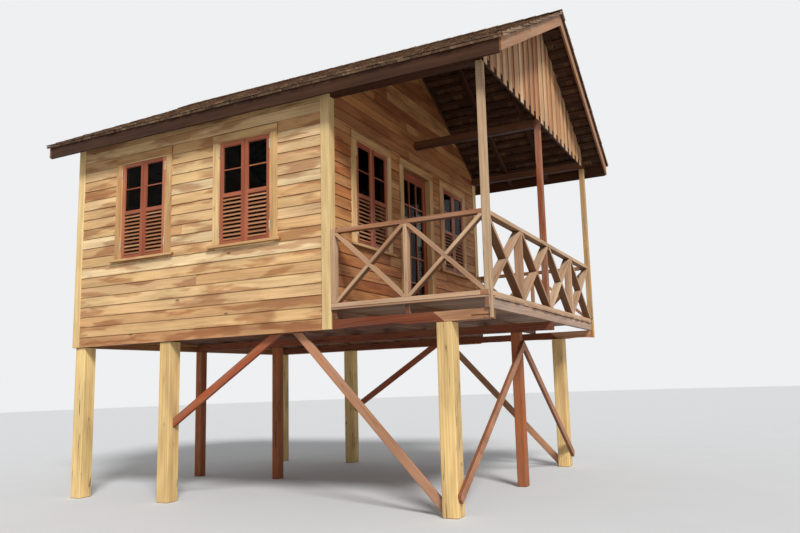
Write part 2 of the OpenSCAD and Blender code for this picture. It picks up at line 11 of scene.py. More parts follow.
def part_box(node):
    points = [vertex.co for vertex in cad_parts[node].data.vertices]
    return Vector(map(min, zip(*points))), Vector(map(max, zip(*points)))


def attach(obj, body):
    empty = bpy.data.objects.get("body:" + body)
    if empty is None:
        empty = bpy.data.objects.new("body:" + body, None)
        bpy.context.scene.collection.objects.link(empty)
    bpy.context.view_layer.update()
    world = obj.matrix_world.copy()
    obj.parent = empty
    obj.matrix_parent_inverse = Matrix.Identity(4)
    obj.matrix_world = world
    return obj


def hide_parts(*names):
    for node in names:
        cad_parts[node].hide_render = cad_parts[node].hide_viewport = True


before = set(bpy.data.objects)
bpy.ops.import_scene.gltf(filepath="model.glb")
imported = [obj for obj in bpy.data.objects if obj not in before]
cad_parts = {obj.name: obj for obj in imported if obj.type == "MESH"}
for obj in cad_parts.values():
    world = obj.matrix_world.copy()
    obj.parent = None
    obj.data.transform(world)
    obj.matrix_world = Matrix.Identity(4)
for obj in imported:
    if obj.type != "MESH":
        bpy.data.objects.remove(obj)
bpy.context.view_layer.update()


# The studio: a pale floor under a pale sky, lit by a broad soft sun from the left of the porch.
# The camera stands low, off the left front corner, and looks slightly up.

def turned(place, yaw, pitch, roll):
    """A placement at a point, looking yaw degrees from +X toward +Y and pitch degrees up."""
    turn = Matrix.Rotation(math.radians(yaw - 90), 4, "Z")
    turn = turn @ Matrix.Rotation(math.radians(90 + pitch), 4, "X")
    return Matrix.Translation(place) @ turn @ Matrix.Rotation(math.radians(roll), 4, "Z")


def placed(name, data):
    """Puts a camera, a lamp or a mesh in the scene under its own name, at the origin."""
    thing = bpy.data.objects.new(name, data)
    bpy.context.scene.collection.objects.link(thing)
    return thing


def mesh_of(name, bm):
    """Turns a finished bmesh into a mesh, and frees the bmesh."""
    mesh = bpy.data.meshes.new(name)
    bm.to_mesh(mesh)
    bm.free()
    return mesh


def blank_finish(name):
    """A new finish, with the nodes it is made of and its shader."""
    finish = bpy.data.materials.new(name)
    finish.use_nodes = True
    return finish, finish.node_tree, finish.node_tree.nodes["Principled BSDF"]


def step(tree, kind, feeds, **settings):
    """Adds a shader node, sets it, feeds its inputs with sockets or values, gives its outputs."""
    node = tree.nodes.new("ShaderNode" + kind)
    for name, value in settings.items():
        setattr(node, name, value)
    for name, value in feeds.items():
        if isinstance(value, bpy.types.NodeSocket):
            tree.links.new(value, node.inputs[name])
        else:
            node.inputs[name].default_value = value
    return node.outputs


def mottle(tree, scale, detail):
    """Soft noise over a piece, in the house's own metres."""
    spot = step(tree, "TexCoord", {})["Object"]
    return step(tree, "TexNoise", {"Vector": spot, "Scale": scale, "Detail": detail})["Fac"]


view_camera = placed("camera", bpy.data.cameras.new("camera"))
view_camera.matrix_world = turned(place=(-8.2203, -5.1245, 1.2487), yaw=24.764, pitch=8.158,
                                  roll=-1.901)
view_camera.data.sensor_width = 36
view_camera.data.lens = 31.75
view_camera.data.shift_x = -0.05
view_camera.data.shift_y = 0.0188
bpy.context.scene.camera = view_camera
bpy.context.scene.view_settings.view_transform = "Standard"

sun = placed("soft_sun", bpy.data.lights.new("soft_sun", "SUN"))
sun.rotation_mode = "QUATERNION"
sun.rotation_quaternion = Vector((-0.55, -0.54, 0.64)).to_track_quat("Z", "Y")
sun.data.energy = 2.8
sun.data.angle = math.radians(14)

sky = bpy.data.worlds.new("pale_sky")
bpy.context.scene.world = sky
sky.use_nodes = True
tree = sky.node_tree
tree.nodes.clear()
path = step(tree, "LightPath", {})
seen = step(tree, "Math", {0: path["Is Camera Ray"], 1: path["Is Glossy Ray"]}, operation="ADD")
seen = step(tree, "Math", {0: seen[0], 1: path["Is Transmission Ray"]}, operation="ADD")
glow = step(tree, "Background", {"Color": (0.94, 0.97, 1, 1), "Strength": 0.36})
pale = step(tree, "Background", {"Color": (0.86, 0.87, 0.88, 1), "Strength": 1})
both = step(tree, "MixShader", {0: seen[0], 1: glow[0], 2: pale[0]})
step(tree, "OutputWorld", {"Surface": both[0]})

ground = bmesh.new()
bmesh.ops.create_circle(ground, cap_ends=True, segments=96, radius=60)
studio_floor = placed("studio_floor", mesh_of("studio_floor", ground))
floor_paint, tree, shell = blank_finish("floor_paint")
shade = step(tree, "MapRange", {"Value": mottle(tree, 1.5, 3.0), "To Min": 0.72, "To Max": 0.76})
tree.links.new(shade[0], shell.inputs["Base Color"])
shell.inputs["Roughness"].default_value = 0.9
studio_floor.data.materials.append(floor_paint)


# Nine square stilts of sawn hardwood, bright yellow to red, stood on the ground in three rows.
# Each is one timber with softened arrises and drying cracks that run with its grain.

def grain_group():
    """The grain of sawn timber, drawn in each timber's lengths: along, across and through it."""
    group = bpy.data.node_groups.new("sawn grain", "ShaderNodeTree")
    for name, kind in (("Place", "Vector"), ("Wood", "Color"), ("Old wood", "Color"),
                       ("Streaks", "Float"), ("Heart", "Float"), ("Knots", "Float"),
                       ("Cracks", "Float"), ("Age", "Float"), ("Underside shade", "Float"),
                       ("Cut end", "Float")):
        group.interface.new_socket(name, in_out="INPUT", socket_type="NodeSocket" + kind)
    for name, kind in (("Colour", "Color"), ("Roughness", "Float"), ("Height", "Float")):
        group.interface.new_socket(name, in_out="OUTPUT", socket_type="NodeSocket" + kind)
    given = group.nodes.new("NodeGroupInput").outputs
    made = group.nodes.new("NodeGroupOutput").inputs

    def vectors(kind, first, second):
        return step(group, "VectorMath", {0: first, 1: second}, operation=kind)[0]

    def sums(kind, first, second, **settings):
        return step(group, "Math", {0: first, 1: second}, operation=kind, **settings)[0]

    def fade(value, low, high, start=0.0, end=1.0):
        feeds = {"Value": value, "From Min": low, "From Max": high, "To Min": start, "To Max": end}
        return step(group, "MapRange", feeds, interpolation_type="SMOOTHSTEP")[0]

    def tint(share, first, second, way="MIX"):
        feeds = {0: share, 6: first, 7: second}
        return step(group, "Mix", feeds, data_type="RGBA", blend_type=way)[2]

    def noise(place, detail, *sizes):
        stretched = vectors("MULTIPLY", place, sizes)
        return step(group, "TexNoise", {"Vector": stretched, "Scale": 1.0, "Detail": detail})

    def streak(place, detail, along, across):
        return noise(place, detail, along, across, across)["Fac"]

    # The grain wanders, and swells round knots.
    wander = vectors("SUBTRACT", noise(given["Place"], 1.0, 0.7, 3, 3)["Color"], (0.5, 0.5, 0.5))
    place = vectors("ADD", given["Place"], vectors("MULTIPLY", wander, (0, 0.05, 0.05)))
    knot_place = vectors("MULTIPLY", place, (3.6, 9, 9))
    cell = step(group, "TexVoronoi", {"Vector": knot_place, "Scale": 1.0})
    chosen = fade(step(group, "SeparateColor", {0: cell["Color"]})[0], 0.86, 0.88)
    chosen = sums("MULTIPLY", chosen, given["Knots"])
    knot = sums("MULTIPLY", fade(cell["Distance"], 0.16, 0.07), chosen)
    swell = sums("MULTIPLY", fade(cell["Distance"], 0.6, 0.1, 0.0, 0.022), chosen)
    place = vectors("ADD", place, step(group, "CombineXYZ", {1: swell, 2: swell})[0])

    # Rings, broad streaks and fine fibres add up to the light and dark of the grain.
    rings = step(group, "TexWave", {"Vector": vectors("MULTIPLY", place, (0.05, 1, 1)),
                                    "Scale": 13.0, "Distortion": 5.0, "Detail": 2.0,
                                    "Detail Scale": 0.6}, wave_type="RINGS")["Fac"]
    broad = streak(place, 2.0, 0.9, 22)
    fine = streak(place, 3.0, 5, 150)
    grain = sums("ADD", sums("MULTIPLY", rings, 0.18), sums("MULTIPLY", broad, 0.62))
    grain = sums("ADD", grain, sums("MULTIPLY", fine, 0.5))
    grain = sums("MULTIPLY", fade(grain, 0.4, 0.95), given["Streaks"])
    darker = tint(1.0, given["Wood"], (0.52, 0.38, 0.27, 1), "MULTIPLY")
    lighter = tint(1.0, given["Wood"], (1.1, 1.1, 1.08, 1), "MULTIPLY")
    colour = tint(grain, lighter, darker)

    # Each board drifts in depth along its length, and shows patches of brown heartwood.
    drift = fade(streak(place, 2.0, 1.3, 5), 0.3, 0.7, 0.84, 1.1)
    colour = tint(1.0, colour, drift, "MULTIPLY")
    heart = sums("MULTIPLY", fade(streak(place, 3.0, 1.6, 9), 0.48, 0.62), given["Heart"])
    colour = tint(heart, colour, (0.54, 0.36, 0.3, 1), "MULTIPLY")

    # Weather greys it in places, and most on what faces up.
    facing = step(group, "SeparateXYZ", {0: step(group, "NewGeometry", {})["Normal"]})["Z"]
    worn = fade(streak(place, 4.0, 1.6, 16), 0.36, 0.62)
    worn = sums("ADD", worn, fade(facing, 0.3, 0.9, 0.0, 0.5))
    aged = sums("MULTIPLY", worn, given["Age"], use_clamp=True)
    greyer = tint(1.0, given["Old wood"], (0.6, 0.55, 0.5, 1), "MULTIPLY")
    colour = tint(aged, colour, tint(grain, given["Old wood"], greyer))
    colour = tint(knot, colour, (0.055, 0.022, 0.01, 1))

    # Cracks open along the grain, cut ends are darker, and faces that point down are darkened with
    # painted shade.
    split = sums("ABSOLUTE", sums("SUBTRACT", streak(place, 1.0, 0.9, 30), 0.5), 0.0)
    opened = fade(streak(place, 1.0, 0.9, 7), 0.5, 0.58)
    crack = sums("MULTIPLY", fade(split, 0.013, 0.004), opened)
    crack = sums("MULTIPLY", crack, given["Cracks"])
    colour = tint(crack, colour, (0.03, 0.014, 0.007, 1))
    colour = tint(given["Cut end"], colour, (0.62, 0.44, 0.36, 1), "MULTIPLY")
    under = sums("MULTIPLY", fade(facing, -0.15, -0.8), given["Underside shade"])
    colour = tint(under, colour, (0.28, 0.22, 0.18, 1), "MULTIPLY")
    group.links.new(colour, made["Colour"])

    rough = fade(sums("ADD", fine, sums("MULTIPLY", aged, 0.4)), 0.3, 0.9, 0.5, 0.85)
    group.links.new(rough, made["Roughness"])
    relief = sums("SUBTRACT", sums("MULTIPLY", fine, -0.5), sums("MULTIPLY", grain, 0.5))
    group.links.new(sums("SUBTRACT", relief, sums("MULTIPLY", crack, 2.0)), made["Height"])
    return group


sawn_grain = grain_group()


def paint(red, green, blue):
    """A colour as a screen shows it, 0 to 255, turned into the linear values a shader needs."""
    parts = [c / 255 for c in (red, green, blue)]
    return [c / 12.92 if c <= 0.04045 else ((c + 0.055) / 1.055) ** 2.4 for c in parts] + [1]


def grained(tree, place, tone, woods, values):
    """Adds the grain to a finish, over a row of woods that each piece is picked from by tone."""
    row = tree.nodes.new("ShaderNodeValToRGB")
    tree.links.new(tone, row.inputs[0])
    stops = row.color_ramp.elements
    while len(stops) < len(woods):
        stops.new(0.5)
    for i, wood in enumerate(woods):
        stops[i].position = i / (len(woods) - 1)
        stops[i].color = paint(*wood)
    grain = tree.nodes.new("ShaderNodeGroup")
    grain.node_tree = sawn_grain
    tree.links.new(place, grain.inputs["Place"])
    tree.links.new(row.outputs[0], grain.inputs["Wood"])
    for name, value in values.items():
        grain.inputs[name].default_value = value
    return grain


# Each timber sets how strongly its down-facing faces are darkened with painted shade.
def timber(name, woods, streaks=0.6, heart=0.2, knots=0.4, cracks=0.2, age=0.0,
           old=(140, 128, 115), relief=0.0015, underside_shade=0.7, ends=1.0):
    """A timber finish, drawn from what mark_grain writes on each piece."""
    finish, tree, shell = blank_finish(name)
    place = step(tree, "Attribute", {}, attribute_name="board")["Vector"]
    tone = step(tree, "Attribute", {}, attribute_name="tone")["Fac"]
    grain = grained(tree, place, tone, woods, {
        "Old wood": paint(*old), "Streaks": streaks, "Heart": heart, "Knots": knots,
        "Cracks": cracks, "Age": age, "Underside shade": underside_shade})
    cut_end = step(tree, "Attribute", {}, attribute_name="cut_end")["Fac"]
    cut_end = step(tree, "Math", {0: cut_end, 1: ends}, operation="MULTIPLY")[0]
    tree.links.new(cut_end, grain.inputs["Cut end"])
    tree.links.new(grain.outputs["Colour"], shell.inputs["Base Color"])
    tree.links.new(grain.outputs["Roughness"], shell.inputs["Roughness"])
    shell.inputs["Specular IOR Level"].default_value = 0.2
    height = grain.outputs["Height"]
    bump = step(tree, "Bump", {"Height": height, "Strength": 0.6, "Distance": relief})
    tree.links.new(bump[0], shell.inputs["Normal"])
    return finish


def from_node(name):
    """A clean mesh of a CAD node: doubles merged, flat faces joined up."""
    bm = bmesh.new()
    bm.from_mesh(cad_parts[name].data)
    bmesh.ops.remove_doubles(bm, verts=bm.verts, dist=0.00005)
    bmesh.ops.dissolve_limit(bm, angle_limit=math.radians(0.5), verts=bm.verts, edges=bm.edges)
    return bm


def pieces_of(bm):
    """The faces of each separate solid in a mesh."""
    bm.faces.ensure_lookup_table()
    left, solids = set(bm.faces), []
    for face in bm.faces:
        if face not in left:
            continue
        left.discard(face)
        solid, queue = [], [face]
        while queue:
            here = queue.pop()
            solid.append(here)
            for edge in here.edges:
                for other in edge.link_faces:
                    if other in left:
                        left.discard(other)
                        queue.append(other)
        solids.append(solid)
    return solids


def mark_grain(bm, rand, tones=None):
    """Gives each solid its grain: a place along, across and through it, a tone, and cut ends."""
    board = bm.verts.layers.float_vector.new("board")
    tone = bm.verts.layers.float.new("tone")
    cut_end = bm.faces.layers.float.new("cut_end")
    for solid in pieces_of(bm):
        flat = max(solid, key=lambda f: f.calc_area())
        longest = max((e for f in solid for e in f.edges), key=lambda e: e.calc_length())
        through = flat.normal.copy()
        along = (longest.verts[1].co - longest.verts[0].co).normalized()
        along = (along - along.dot(through) * through).normalized()
        across = through.cross(along)
        shift = Vector((rand.uniform(0, 40), rand.uniform(-0.15, 0.15), rand.uniform(0.02, 0.2)))
        middle = flat.calc_center_median()
        shade = rand.random() if tones is None else tones(middle, rand)
        for vert in {v for f in solid for v in f.verts}:
            away = vert.co - middle
            place = Vector((away.dot(along), away.dot(across), away.dot(through)))
            vert[board] = place + shift
            vert[tone] = shade
        for face in solid:
            face[cut_end] = 1.0 if abs(face.normal.dot(along)) > 0.8 else 0.0


def put_up(name, bm, finish, nodes=(), edge=0.003, body="house", tones=None):
    """Softens a mesh's arrises, marks its grain and fixes it to a body, in place of CAD nodes."""
    if edge:
        sharp = [e for e in bm.edges
                 if e.calc_face_angle(0) > 0.35 and e.calc_length() > 2.5 * edge]
        bmesh.ops.bevel(bm, geom=sharp, affect="EDGES", offset=edge, segments=1, profile=0.5,
                        material=-1, clamp_overlap=True)
    bm.normal_update()
    mark_grain(bm, random.Random(name), tones)
    piece = placed(name, mesh_of(name, bm))
    piece.data.materials.append(finish)
    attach(piece, body)
    if nodes:
        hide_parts(*nodes)


stilt_wood = timber("stilt_wood", [(220, 180, 116), (238, 206, 142), (166, 96, 56)],
                    streaks=0.45, cracks=0.9, knots=0.6, age=0.12, old=(176, 158, 134))
for row in ("front_stilts", "middle_stilts", "back_stilts"):
    put_up(row + "_sawn", from_node(row), stilt_wood, [row], edge=0.007,
           tones=lambda at, rand: 1.0 if abs(at.x) < 0.5 else rand.uniform(0.2, 0.6))


# Braces of thinner sawn timber: pairs nailed between the side stilts, and a pair across the
# front. They are pinkish tan to red, cut plumb where they meet the stilts.

brace_wood = timber("brace_wood", [(186, 140, 108), (176, 92, 56)], streaks=0.45, cracks=0.4,
                    age=0.25, old=(168, 146, 126))
put_up("stilt_braces_sawn", from_node("stilt_braces"), brace_wood,
       ["stilt_braces"], edge=0.004,
       tones=lambda at, rand: 1.0 if at.y > -0.4 else rand.uniform(0, 0.5))


# Bearers along the house on the stilts' heads, and joists across them: rough reddish hardwood.
# The side bearers are scarfed over the front stilts, with a split nose in front of them, and
# their lower edges are waney between the stilts.

def saw(bm, at, facing, drop=False, faces=None):
    """Saws through a mesh, or some of its faces, and may drop what the plane faces."""
    if faces is None:
        parts = bm.verts[:] + bm.edges[:] + bm.faces[:]
    else:
        edges, verts = {e for f in faces for e in f.edges}, {v for f in faces for v in f.verts}
        parts = faces + list(edges) + list(verts)
    bmesh.ops.bisect_plane(bm, geom=parts, dist=0.00001, plane_co=at, plane_no=facing,
                           clear_outer=drop)


def close_cuts(bm):
    """Closes the openings that cuts have left."""
    bmesh.ops.holes_fill(bm, edges=[e for e in bm.edges if e.is_boundary], sides=0)


bearer_wood = timber("bearer_wood", [(120, 62, 38), (138, 76, 50), (196, 148, 112)],
                     streaks=0.7, cracks=0.9, age=0.15, old=(150, 118, 98))
bearers = from_node("bearers")
underside = min(v.co.z for v in bearers.verts)
nose_y, side_x = -2.6, 2.06
cut_pitch, cut_count = 0.17, 31
for i in range(cut_count):
    saw(bearers, (0, nose_y + cut_pitch * i, 0), (0, 1, 0))

scarf_y, scarf_lean, scarf_gap = nose_y + cut_pitch * 2, 1.2, 0.0012


def on_scarf(vert):
    """Whether a point is on a side bearer's scarf."""
    return abs(vert.co.y - scarf_y) < 0.0005 and abs(vert.co.x) > 1


scarf = [e for e in bearers.edges if all(on_scarf(v) for v in e.verts)]
bmesh.ops.split_edges(bearers, edges=scarf)
close_cuts(bearers)

slit_low, slit_high, slit_tip, slit_depth = 0.03, 0.046, 0.039, 0.014
for rise in (slit_low, slit_high):
    noses = [f for f in bearers.faces if f.calc_center_median().y < nose_y]
    saw(bearers, (0, 0, underside + rise), (0, 0, 1), faces=noses)
torn = []
for face in bearers.faces:
    middle = face.calc_center_median()
    on_nose = middle.y < nose_y and abs(middle.x) > side_x and abs(face.normal.x) > 0.9
    if on_nose and abs(middle.z - underside - (slit_low + slit_high) / 2) < 0.004:
        torn.append(face)
bmesh.ops.inset_individual(bearers, faces=torn, thickness=0.003, depth=-slit_depth)
for vert in {v for f in torn for v in f.verts if v.co.y > nose_y - 0.05}:
    vert.co.z = underside + slit_tip

wane_rand = random.Random("bearers")
wane_outer, wane_inner = 0.024, 0.006
borne_at = (-2.8, -2.31, -0.42, 1.29, 2.75)
for vert in bearers.verts:
    if on_scarf(vert):
        way = sum(f.calc_center_median().y - scarf_y for f in vert.link_faces)
        lean = scarf_lean * (vert.co.z - underside - 0.05)
        vert.co.y += lean + math.copysign(scarf_gap, way)
    elif vert.co.z < underside + 0.01 and all(abs(vert.co.y - y) > 0.15 for y in borne_at):
        wane = wane_outer if abs(vert.co.x) > side_x else wane_inner
        vert.co.z += wane_rand.random() * wane
put_up("bearers_sawn", bearers, bearer_wood, ["bearers"], edge=0.005,
       tones=lambda at, rand: 0.95 if at.y < scarf_y - 0.03 and abs(at.x) > 1
       else rand.uniform(0, 0.5))

joist_wood = timber("joist_wood", [(118, 76, 52), (146, 102, 74), (196, 166, 146)],
                    streaks=0.6, cracks=0.6, age=0.4, old=(176, 158, 146))
put_up("joists_sawn", from_node("floor_joists"), joist_wood, ["floor_joists"],
       edge=0.004, tones=lambda at, rand: 0.9 if at.y < -2.7 else rand.uniform(0, 0.5))


# The porch deck: planed boards laid from the wall to the porch edge, with gaps, ends left
# uneven. The room has the same boards, laid close.

def squared(bm, low, high, place=Matrix()):
    """Adds a squared timber that fills the box between two corners."""
    low, high = Vector(low), Vector(high)
    fill = Matrix.Translation((low + high) / 2) @ Matrix.Diagonal((*(high - low), 1))
    bmesh.ops.create_cube(bm, size=1, matrix=place @ fill)


board_w, board_gap, wall_line = 0.14, 0.005, -1.047
deck_wood = timber("deck_wood", [(188, 148, 116), (166, 124, 94), (208, 176, 144)], streaks=0.5,
                   cracks=0.4, age=0.35, old=(180, 162, 144), ends=0.0)
deck_rand = random.Random("deck")
deck = bmesh.new()
deck_low, deck_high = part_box("porch_deck")
deck_count = round((deck_high.x - deck_low.x) / (board_w + board_gap))
deck_pitch = (deck_high.x - deck_low.x + board_gap) / deck_count
for i in range(deck_count):
    outermost = i in (0, deck_count - 1)
    x0 = deck_low.x + i * deck_pitch
    y0 = deck_low.y + (0.027 if outermost else deck_rand.uniform(0, 0.02))
    drop = 0.003 if outermost else deck_rand.uniform(0, 0.0015)
    squared(deck, (x0, y0, deck_low.z + 0.0005),
            (x0 + deck_pitch - board_gap, wall_line, deck_high.z - drop))
squared(deck, (-0.4, wall_line + 0.001, deck_low.z + 0.0005), (0.4, deck_high.y, deck_high.z))
put_up("deck_boards", deck, deck_wood, ["porch_deck"], edge=0.002)

room = bmesh.new()
low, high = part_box("room_floor")
count = round((high.x - low.x) / board_w)
pitch = (high.x - low.x) / count
for i in range(count):
    squared(room, (low.x + i * pitch, low.y, low.z + 0.0005),
            (low.x + (i + 1) * pitch - 0.0015, high.y, high.z))
put_up("room_boards", room, deck_wood, ["room_floor"], edge=0.0015)


# Wall panels: planed lining boards on both faces, laid level, with a dark groove between them.
# They show through the door and windows.

lining, tree, shell = blank_finish("lining_boards")
lining_board_w = 0.1


def work(kind, *feeds):
    """A step of arithmetic in the lining's nodes."""
    return step(tree, "Math", dict(enumerate(feeds)), operation=kind)[0]


spot = step(tree, "SeparateXYZ", {0: step(tree, "TexCoord", {})["Object"]})
course = work("DIVIDE", spot["Z"], lining_board_w)
number = work("FLOOR", course)
tone = step(tree, "TexWhiteNoise", {"W": number}, noise_dimensions="1D")["Value"]
run = work("ADD", work("ADD", spot["X"], spot["Y"]), number)
place = step(tree, "CombineXYZ", {0: run, 1: spot["Z"], 2: tone})[0]
grain = grained(tree, place, tone, [(150, 104, 66), (186, 136, 90)],
                {"Streaks": 0.5, "Knots": 0.4, "Cracks": 0.1, "Underside shade": 0.5})
edge = work("ABSOLUTE", work("SUBTRACT", work("FRACT", course), 0.5))
groove = step(tree, "MapRange", {"Value": edge, "From Min": 0.475, "From Max": 0.49},
              interpolation_type="SMOOTHSTEP")[0]
dark = step(tree, "Mix", {0: groove, 6: grain.outputs["Colour"], 7: (0.03, 0.015, 0.008, 1)},
            data_type="RGBA")[2]
tree.links.new(dark, shell.inputs["Base Color"])
tree.links.new(grain.outputs["Roughness"], shell.inputs["Roughness"])
shell.inputs["Specular IOR Level"].default_value = 0.2
bump = step(tree, "Bump", {"Height": work("SUBTRACT", 0.0, groove), "Distance": 0.004})
tree.links.new(bump[0], shell.inputs["Normal"])


def refinish(names, finish):
    """Gives CAD nodes whose shape is right a better finish."""
    for name in names:
        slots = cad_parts[name].data.materials
        slots.clear()
        slots.append(finish)


refinish(("left_wall", "left_wall_piers", "right_wall", "right_wall_piers", "front_wall",
          "front_wall_piers", "back_wall"), lining)


# Lapped siding: boards that show 125 mm, each over the head of the one below, nailed course by
# course and butted at the studs. They are golden to reddish brown and differ one by one.

reveal, lap, siding_t = 0.125, 0.018, 0.011
frame_x, wall_y, back_y = 2.07, -1.015, 2.795
foot_z, floor_z, side_top, gable_top = 1.83, 2.052, 4.4247, 5.66
side_sill, front_sill = 2.88, 2.824
roof_pitch = math.radians(30)


def rafter_z(x):
    """Height of the rafters' undersides at a distance x from the middle of the house."""
    return 4.447 + (frame_x - abs(x)) * math.tan(roof_pitch)


def on_side(side, y):
    """A placement on a side wall's frame, -1 the left and 1 the right, the outside toward -Y."""
    return Matrix.Translation((side * frame_x, y, 0)) @ Matrix.Rotation(side * math.pi / 2, 4, "Z")


def cut_round(bits, opening):
    """Cuts bits of board, given by their edges, round one opening."""
    x0, x1, z0, z1 = opening
    kept = []
    for a, b, c, d in bits:
        if b <= x0 or a >= x1 or d <= z0 or c >= z1:
            kept.append((a, b, c, d))
            continue
        if a < x0:
            kept.append((a, x0, c, d))
        if b > x1:
            kept.append((x1, b, c, d))
        if z0 - c > 0.004:
            kept.append((max(a, x0), min(b, x1), c, z0))
        if d - z1 > 0.004:
            kept.append((max(a, x0), min(b, x1), z1, d))
    return kept


def lay_siding(place, half, foot, top, openings, rand):
    """Lays the courses of one wall, drawn with its face at y 0 and the outside toward -Y."""
    bm = bmesh.new()
    low, joints = foot, []
    while low < top - 0.005:
        high = min(low + reveal + lap, top)
        x = rand.uniform(-half + 0.4, half - 0.4)
        clear = all(abs(x - joint) > 0.15 for joint in joints)
        joints = [x] if rand.random() < 0.5 and clear else []
        ends = [-half] + joints + [half]
        bits = [(a + 0.0008, b - 0.0008, low, high) for a, b in zip(ends, ends[1:])]
        for opening in openings:
            bits = cut_round(bits, opening)
        out = rand.uniform(-0.001, 0.0)
        for a, b, c, d in bits:
            if b - a < 0.01:
                continue
            lip, head = [out + siding_t * (1.5 - (z - low) / (reveal + lap)) for z in (c, d)]
            sag = rand.uniform(-0.0015, 0.0015) if c > low or low > foot else 0
            shape = Matrix(((b - a, 0, 0, 0), (0, siding_t, lip - head, 0), (0, 0, d - c, 0),
                            (0, 0, 0, 1)))
            at = Matrix.Translation(((a + b) / 2, -(lip + head) / 2, (c + d) / 2 + sag))
            bmesh.ops.create_cube(bm, size=1, matrix=place @ at @ shape)
        low += reveal
    return bm


def trim_to_gable(bm, gap=0.0003):
    """Cuts everything off over the rafters' undersides, and closes the cut ends."""
    for side in (-1, 1):
        slope = Vector((side * math.sin(roof_pitch), 0, math.cos(roof_pitch)))
        saw(bm, (0, 0, rafter_z(0) - gap), slope, drop=True)
    close_cuts(bm)


def window_opening(x, sill):
    """The edges of the opening that the siding leaves behind a window's casing."""
    return x - 0.42, x + 0.42, sill - 0.018, sill + 1.265


siding_wood = timber("siding_wood", [(234, 200, 148), (222, 178, 126), (240, 212, 166),
                                     (210, 160, 110), (230, 192, 138), (190, 136, 92)],
                     streaks=0.42, heart=0.75, knots=0.7, cracks=0.15, age=0.05,
                     old=(176, 150, 122), underside_shade=1.0)
# The front wall's siding under the porch is a darker, oranger copy of the side walls' siding. The
# orange is its own colour, and the darkness is painted porch shade.
shaded_porch_siding = timber("shaded_porch_siding", [(198, 140, 88), (178, 114, 68),
                                                 (208, 158, 106), (160, 96, 56)],
                           streaks=0.45, heart=0.6, knots=0.8, cracks=0.15, underside_shade=1.0)
side_openings = [window_opening(x, side_sill) for x in (-0.785, 0.785)]
front_openings = [window_opening(x, front_sill) for x in (-1.18, 1.18)]
front_openings.append((-0.45, 0.45, 2.0, 4.09))
on_front = Matrix.Translation((0, wall_y, 0))
on_back = Matrix.Translation((0, back_y, 0)) @ Matrix.Rotation(math.pi, 4, "Z")
# Each wall's name, placement, half length, foot, top, openings and wood.
walls = [("left", on_side(-1, 0.89), 1.825, foot_z, side_top, side_openings, siding_wood),
         ("right", on_side(1, 0.89), 1.825, foot_z, side_top, side_openings, siding_wood),
         ("front", on_front, 1.99, floor_z, gable_top, front_openings, shaded_porch_siding),
         ("back", on_back, 1.99, foot_z, gable_top, [], siding_wood)]
for name, place, half, foot, top, openings, wood in walls:
    boards = lay_siding(place, half, foot, top, openings, random.Random(name))
    if top == gable_top:
        trim_to_gable(boards)
    put_up(name + "_boards", boards, wood, [name + "_siding"], edge=0.0015)


# Corner boards: an angle of two planed boards over each corner's siding ends, pale yellow.
# The side board runs past the corner, and the one on the front or back is butted to it.

corner_wood = timber("corner_wood", [(234, 204, 148), (226, 190, 130)], streaks=0.4, knots=0.4,
                     cracks=0.15, age=0.05, old=(200, 180, 150))
corners = bmesh.new()
corner_w, corner_t, plate_z = 0.11, 0.03, 4.367
for side in (-1, 1):
    for y, inward, foot in ((-1.045, 1, floor_z), (2.825, -1, foot_z)):
        x0, x1 = sorted((side * frame_x, side * (frame_x + corner_t)))
        y0, y1 = sorted((y, y + inward * corner_w))
        squared(corners, (x0, y0, foot_z), (x1, y1, side_top))
        x0, x1 = sorted((side * 1.99, side * 2.0695))
        y0, y1 = sorted((y + inward * 0.001, y + inward * corner_t))
        squared(corners, (x0, y0, foot), (x1, y1, plate_z))
put_up("corner_angles", corners, corner_wood, ["corner_boards"], edge=0.003)


# Nails: flat steel heads in every course of siding over each stud, and in each deck board over
# each joist, dull and rusty.

def steel(name, rusty):
    """Plain pale steel with a share of it gone brown."""
    metal, tree, shell = blank_finish(name)
    shell.inputs["Metallic"].default_value = 1
    spots = mottle(tree, 90.0, 4.0)
    rust = step(tree, "MapRange", {"Value": spots, "From Min": 0.62 - rusty / 2,
                                   "From Max": 0.76 - rusty / 2},
                interpolation_type="SMOOTHSTEP")[0]
    skin = step(tree, "Mix", {0: rust, 6: paint(206, 192, 166), 7: paint(120, 74, 46)},
                data_type="RGBA")[2]
    tree.links.new(skin, shell.inputs["Base Color"])
    rough = step(tree, "MapRange", {"Value": rust, "To Min": 0.4, "To Max": 0.8})[0]
    tree.links.new(rough, shell.inputs["Roughness"])
    bump = step(tree, "Bump", {"Height": spots, "Strength": 0.3, "Distance": 0.0004})
    tree.links.new(bump[0], shell.inputs["Normal"])
    return metal


def fix_metal(name, bm, metal):
    """Fixes a piece of ironwork to the house."""
    piece = placed(name, mesh_of(name, bm))
    piece.data.materials.append(metal)
    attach(piece, "house")


def nail(bm, place, size=0.004):
    """A flat nail head that faces along Z."""
    bmesh.ops.create_cone(bm, cap_ends=True, segments=6, radius1=size, radius2=size * 0.75,
                          depth=0.0024, matrix=place)


def outward(x, y, z):
    """A placement on a wall, with Z turned to face out of it."""
    return Matrix.Translation((x, y, z)) @ Matrix.Rotation(math.pi / 2, 4, "X")


nail_rand = random.Random("nails")


def nail_siding(bm, place, half, foot, top, openings):
    """Nails one wall's siding, drawn as lay_siding draws it."""
    level = foot + 0.03
    while level < top - 0.06:
        for i in range(-3, 4):
            x = i * (half - 0.14) / 3 + nail_rand.uniform(-0.006, 0.006)
            z = level + nail_rand.uniform(-0.004, 0.004)
            near = any(x0 - 0.07 < x < x1 + 0.07 and z0 - 0.06 < z < z1 + 0.07
                       for x0, x1, z0, z1 in openings)
            if not near and z <= rafter_z(x) - 0.05:
                nail(bm, place @ outward(x, -0.0198, z))
        level += reveal


